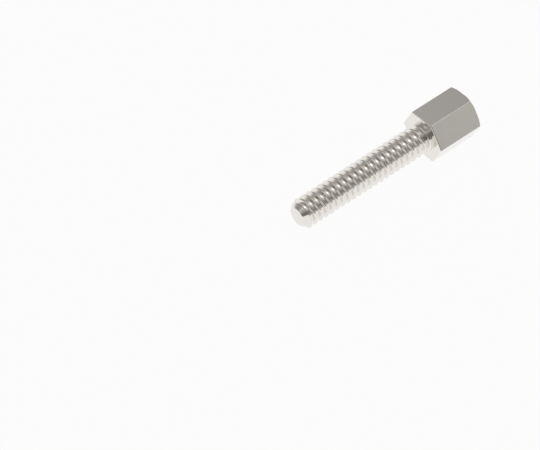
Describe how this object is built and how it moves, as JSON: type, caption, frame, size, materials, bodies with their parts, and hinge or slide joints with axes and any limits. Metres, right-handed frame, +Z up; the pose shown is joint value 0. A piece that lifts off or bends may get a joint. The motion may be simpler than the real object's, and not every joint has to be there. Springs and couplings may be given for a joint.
{
  "type": "female screwlock",
  "caption": "Hexagonal metal jack post with a tapped socket in one end and a long threaded stud at the other, lying on its side.",
  "frame": {"origin": "centre of the bounding box's base, on the surface the part lies on", "axes": "+Z up; the part's own axis lies in the XZ plane, from the stud's tip up to the head at +X, rising 3.23 degrees; two flats of the hexagon face down and up"},
  "size_m": [0.0194, 0.005, 0.0047],
  "materials": {
    "nickel_plate": "bright nickel plate on turned steel"
  },
  "bodies": {
    "root": {"screwlock": "nickel_plate"}
  },
  "joints": []
}
